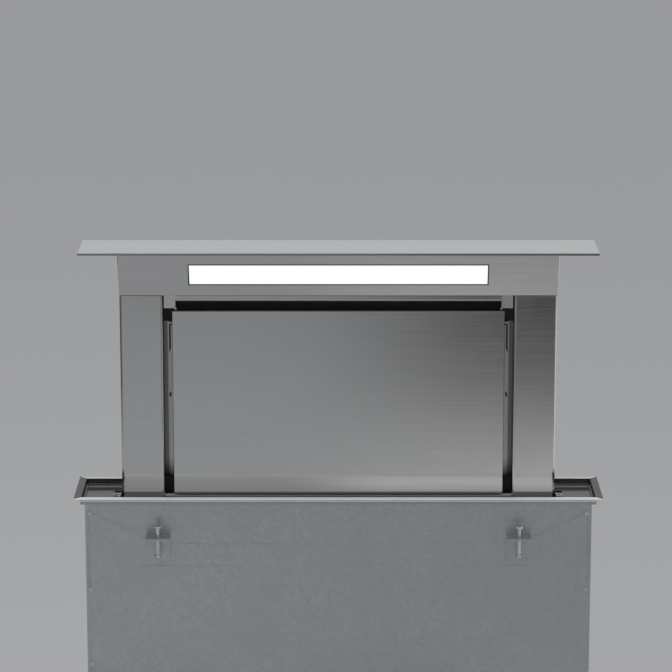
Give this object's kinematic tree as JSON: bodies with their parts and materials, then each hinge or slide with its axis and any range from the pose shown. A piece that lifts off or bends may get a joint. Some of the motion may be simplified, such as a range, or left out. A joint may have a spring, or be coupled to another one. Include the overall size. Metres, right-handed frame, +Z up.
{
  "type": "downdraft vent",
  "caption": "Rising downdraft vent with a slim steel mast, sloping lit head, tilting front panel and side slots, over a lift, blower and casing below the worktop.",
  "frame": {"origin": "centre of the deck on the worktop's top plane, where the deck's seal rests", "axes": "+X to the right seen from the front, +Y to the back, +Z up along the lift"},
  "size_m": [0.88, 0.3115, 1.1605],
  "materials": {
    "deck_steel": "brushed",
    "lid_steel": "brushed",
    "head_steel": "brushed",
    "column_steel": "brushed",
    "panel_steel": "brushed",
    "rail_steel": "brushed",
    "liner_steel": "brushed",
    "clip_steel": "satin",
    "black_rubber": "matte",
    "belt_rubber": "matte",
    "galvanised": "satin, galvanised",
    "bright_steel": "ground",
    "zinc_screw": "zinc plated",
    "cast_alloy": "cast",
    "motor_alloy": "painted",
    "black_plastic": "matte",
    "grey_plastic": "matte",
    "white_plastic": "matte",
    "black_coat": "matte black",
    "green_board": "solder mask",
    "lead_black": "matte",
    "filter_mesh": "expanded mesh",
    "diffuser": "opal"
  },
  "bodies": {
    "casing": {"deck_frame": "deck_steel", "deck_seal": "black_rubber", "mast_wiper": "black_rubber", "deck_clips": "clip_steel", "body_front": "galvanised", "body_rear": "galvanised", "body_ends": "galvanised", "body_floor": "galvanised", "guide_rods": "bright_steel", "rod_holders": "cast_alloy", "lift_belts": "belt_rubber", "idler_pins": "bright_steel", "shaft_bearings": "cast_alloy", "lift_motor": "motor_alloy", "limit_switches": "black_plastic", "worktop_clamps": "galvanised", "clamp_screws": "zinc_screw", "casing_screws": "zinc_screw", "electrics_box": "galvanised", "electrics_cover": "galvanised", "control_board": "green_board", "terminal_block": "white_plastic", "cable_gland": "black_plastic", "blower_gasket": "black_rubber", "blower_scroll": "galvanised", "blower_plate": "galvanised", "blower_motor": "motor_alloy", "outlet_transition": "galvanised", "outlet_collar": "grey_plastic", "flap_pin": "bright_steel", "leg_screws": "zinc_screw", "lamp_lead": "lead_black"},
    "mast": {"lid": "lid_steel", "head_shell": "head_steel", "light_diffuser": "diffuser", "led_board": "green_board", "lamp_tray": "black_plastic", "led_driver": "white_plastic", "left_column": "column_steel", "right_column": "column_steel", "mast_back": "column_steel", "foot_plate": "column_steel", "cross_rail": "rail_steel", "panel_catches": "clip_steel", "filter_frame": "black_coat", "slot_liners": "liner_steel", "grease_filters": "filter_mesh", "carriage": "cast_alloy", "guide_bushes": "white_plastic", "belt_clamps": "galvanised"},
    "panel": {"front_panel": "panel_steel", "panel_pins": "bright_steel"},
    "drive": {"drive_shaft": "bright_steel", "drive_pulleys": "black_plastic"},
    "idler_pair": {"idlers": "black_plastic"},
    "impeller": {"impeller": "black_plastic"},
    "rear_flap": {"rear_flap": "grey_plastic"},
    "front_flap": {"front_flap": "grey_plastic"},
    "left_leg": {"left_leg": "galvanised"},
    "right_leg": {"right_leg": "galvanised"}
  },
  "joints": [
    {"name": "lift_slide", "type": "slide", "parent": "casing", "child": "mast", "axis": [0, 0, 1], "range_m": [-0.413, 0], "deforming": ["lamp_lead"]},
    {"name": "panel_tilt", "type": "hinge", "parent": "mast", "child": "panel", "pos_m": [0, 0.0115, 0], "axis": [1, 0, 0], "range_deg": [0, 25]},
    {"name": "drive_turn", "type": "hinge", "parent": "casing", "child": "drive", "pos_m": [0, -0.006, -0.655], "axis": [1, 0, 0], "range_deg": [-1580, 0]},
    {"name": "idler_turn", "type": "hinge", "parent": "casing", "child": "idler_pair", "pos_m": [0, -0.006, -0.06], "axis": [1, 0, 0], "range_deg": [-1580, 0]},
    {"name": "impeller_spin", "type": "hinge", "parent": "casing", "child": "impeller", "pos_m": [-0.04, -0.11, -0.56], "axis": [0, 1, 0], "continuous": true},
    {"name": "rear_flap_swing", "type": "hinge", "parent": "casing", "child": "rear_flap", "pos_m": [0.17, -0.1365, -0.4477], "axis": [0, 0, 1], "range_deg": [-78, 0], "stiffness_Nm_per_rad": 0.01, "springref_deg": 17.19},
    {"name": "front_flap_swing", "type": "hinge", "parent": "casing", "child": "front_flap", "pos_m": [0.17, -0.1365, -0.4477], "axis": [0, 0, 1], "range_deg": [0, 78], "stiffness_Nm_per_rad": 0.01, "springref_deg": -17.19},
    {"name": "left_leg_slide", "type": "slide", "parent": "casing", "child": "left_leg", "axis": [0, 0, 1], "range_m": [-0.06, 0.02]},
    {"name": "right_leg_slide", "type": "slide", "parent": "casing", "child": "right_leg", "axis": [0, 0, 1], "range_m": [-0.06, 0.02]}
  ],
  "couplings": [
    {"joint": "drive_turn", "follows": "lift_slide", "rad_per_m": 66.667},
    {"joint": "idler_turn", "follows": "lift_slide", "rad_per_m": 66.667}
  ]
}
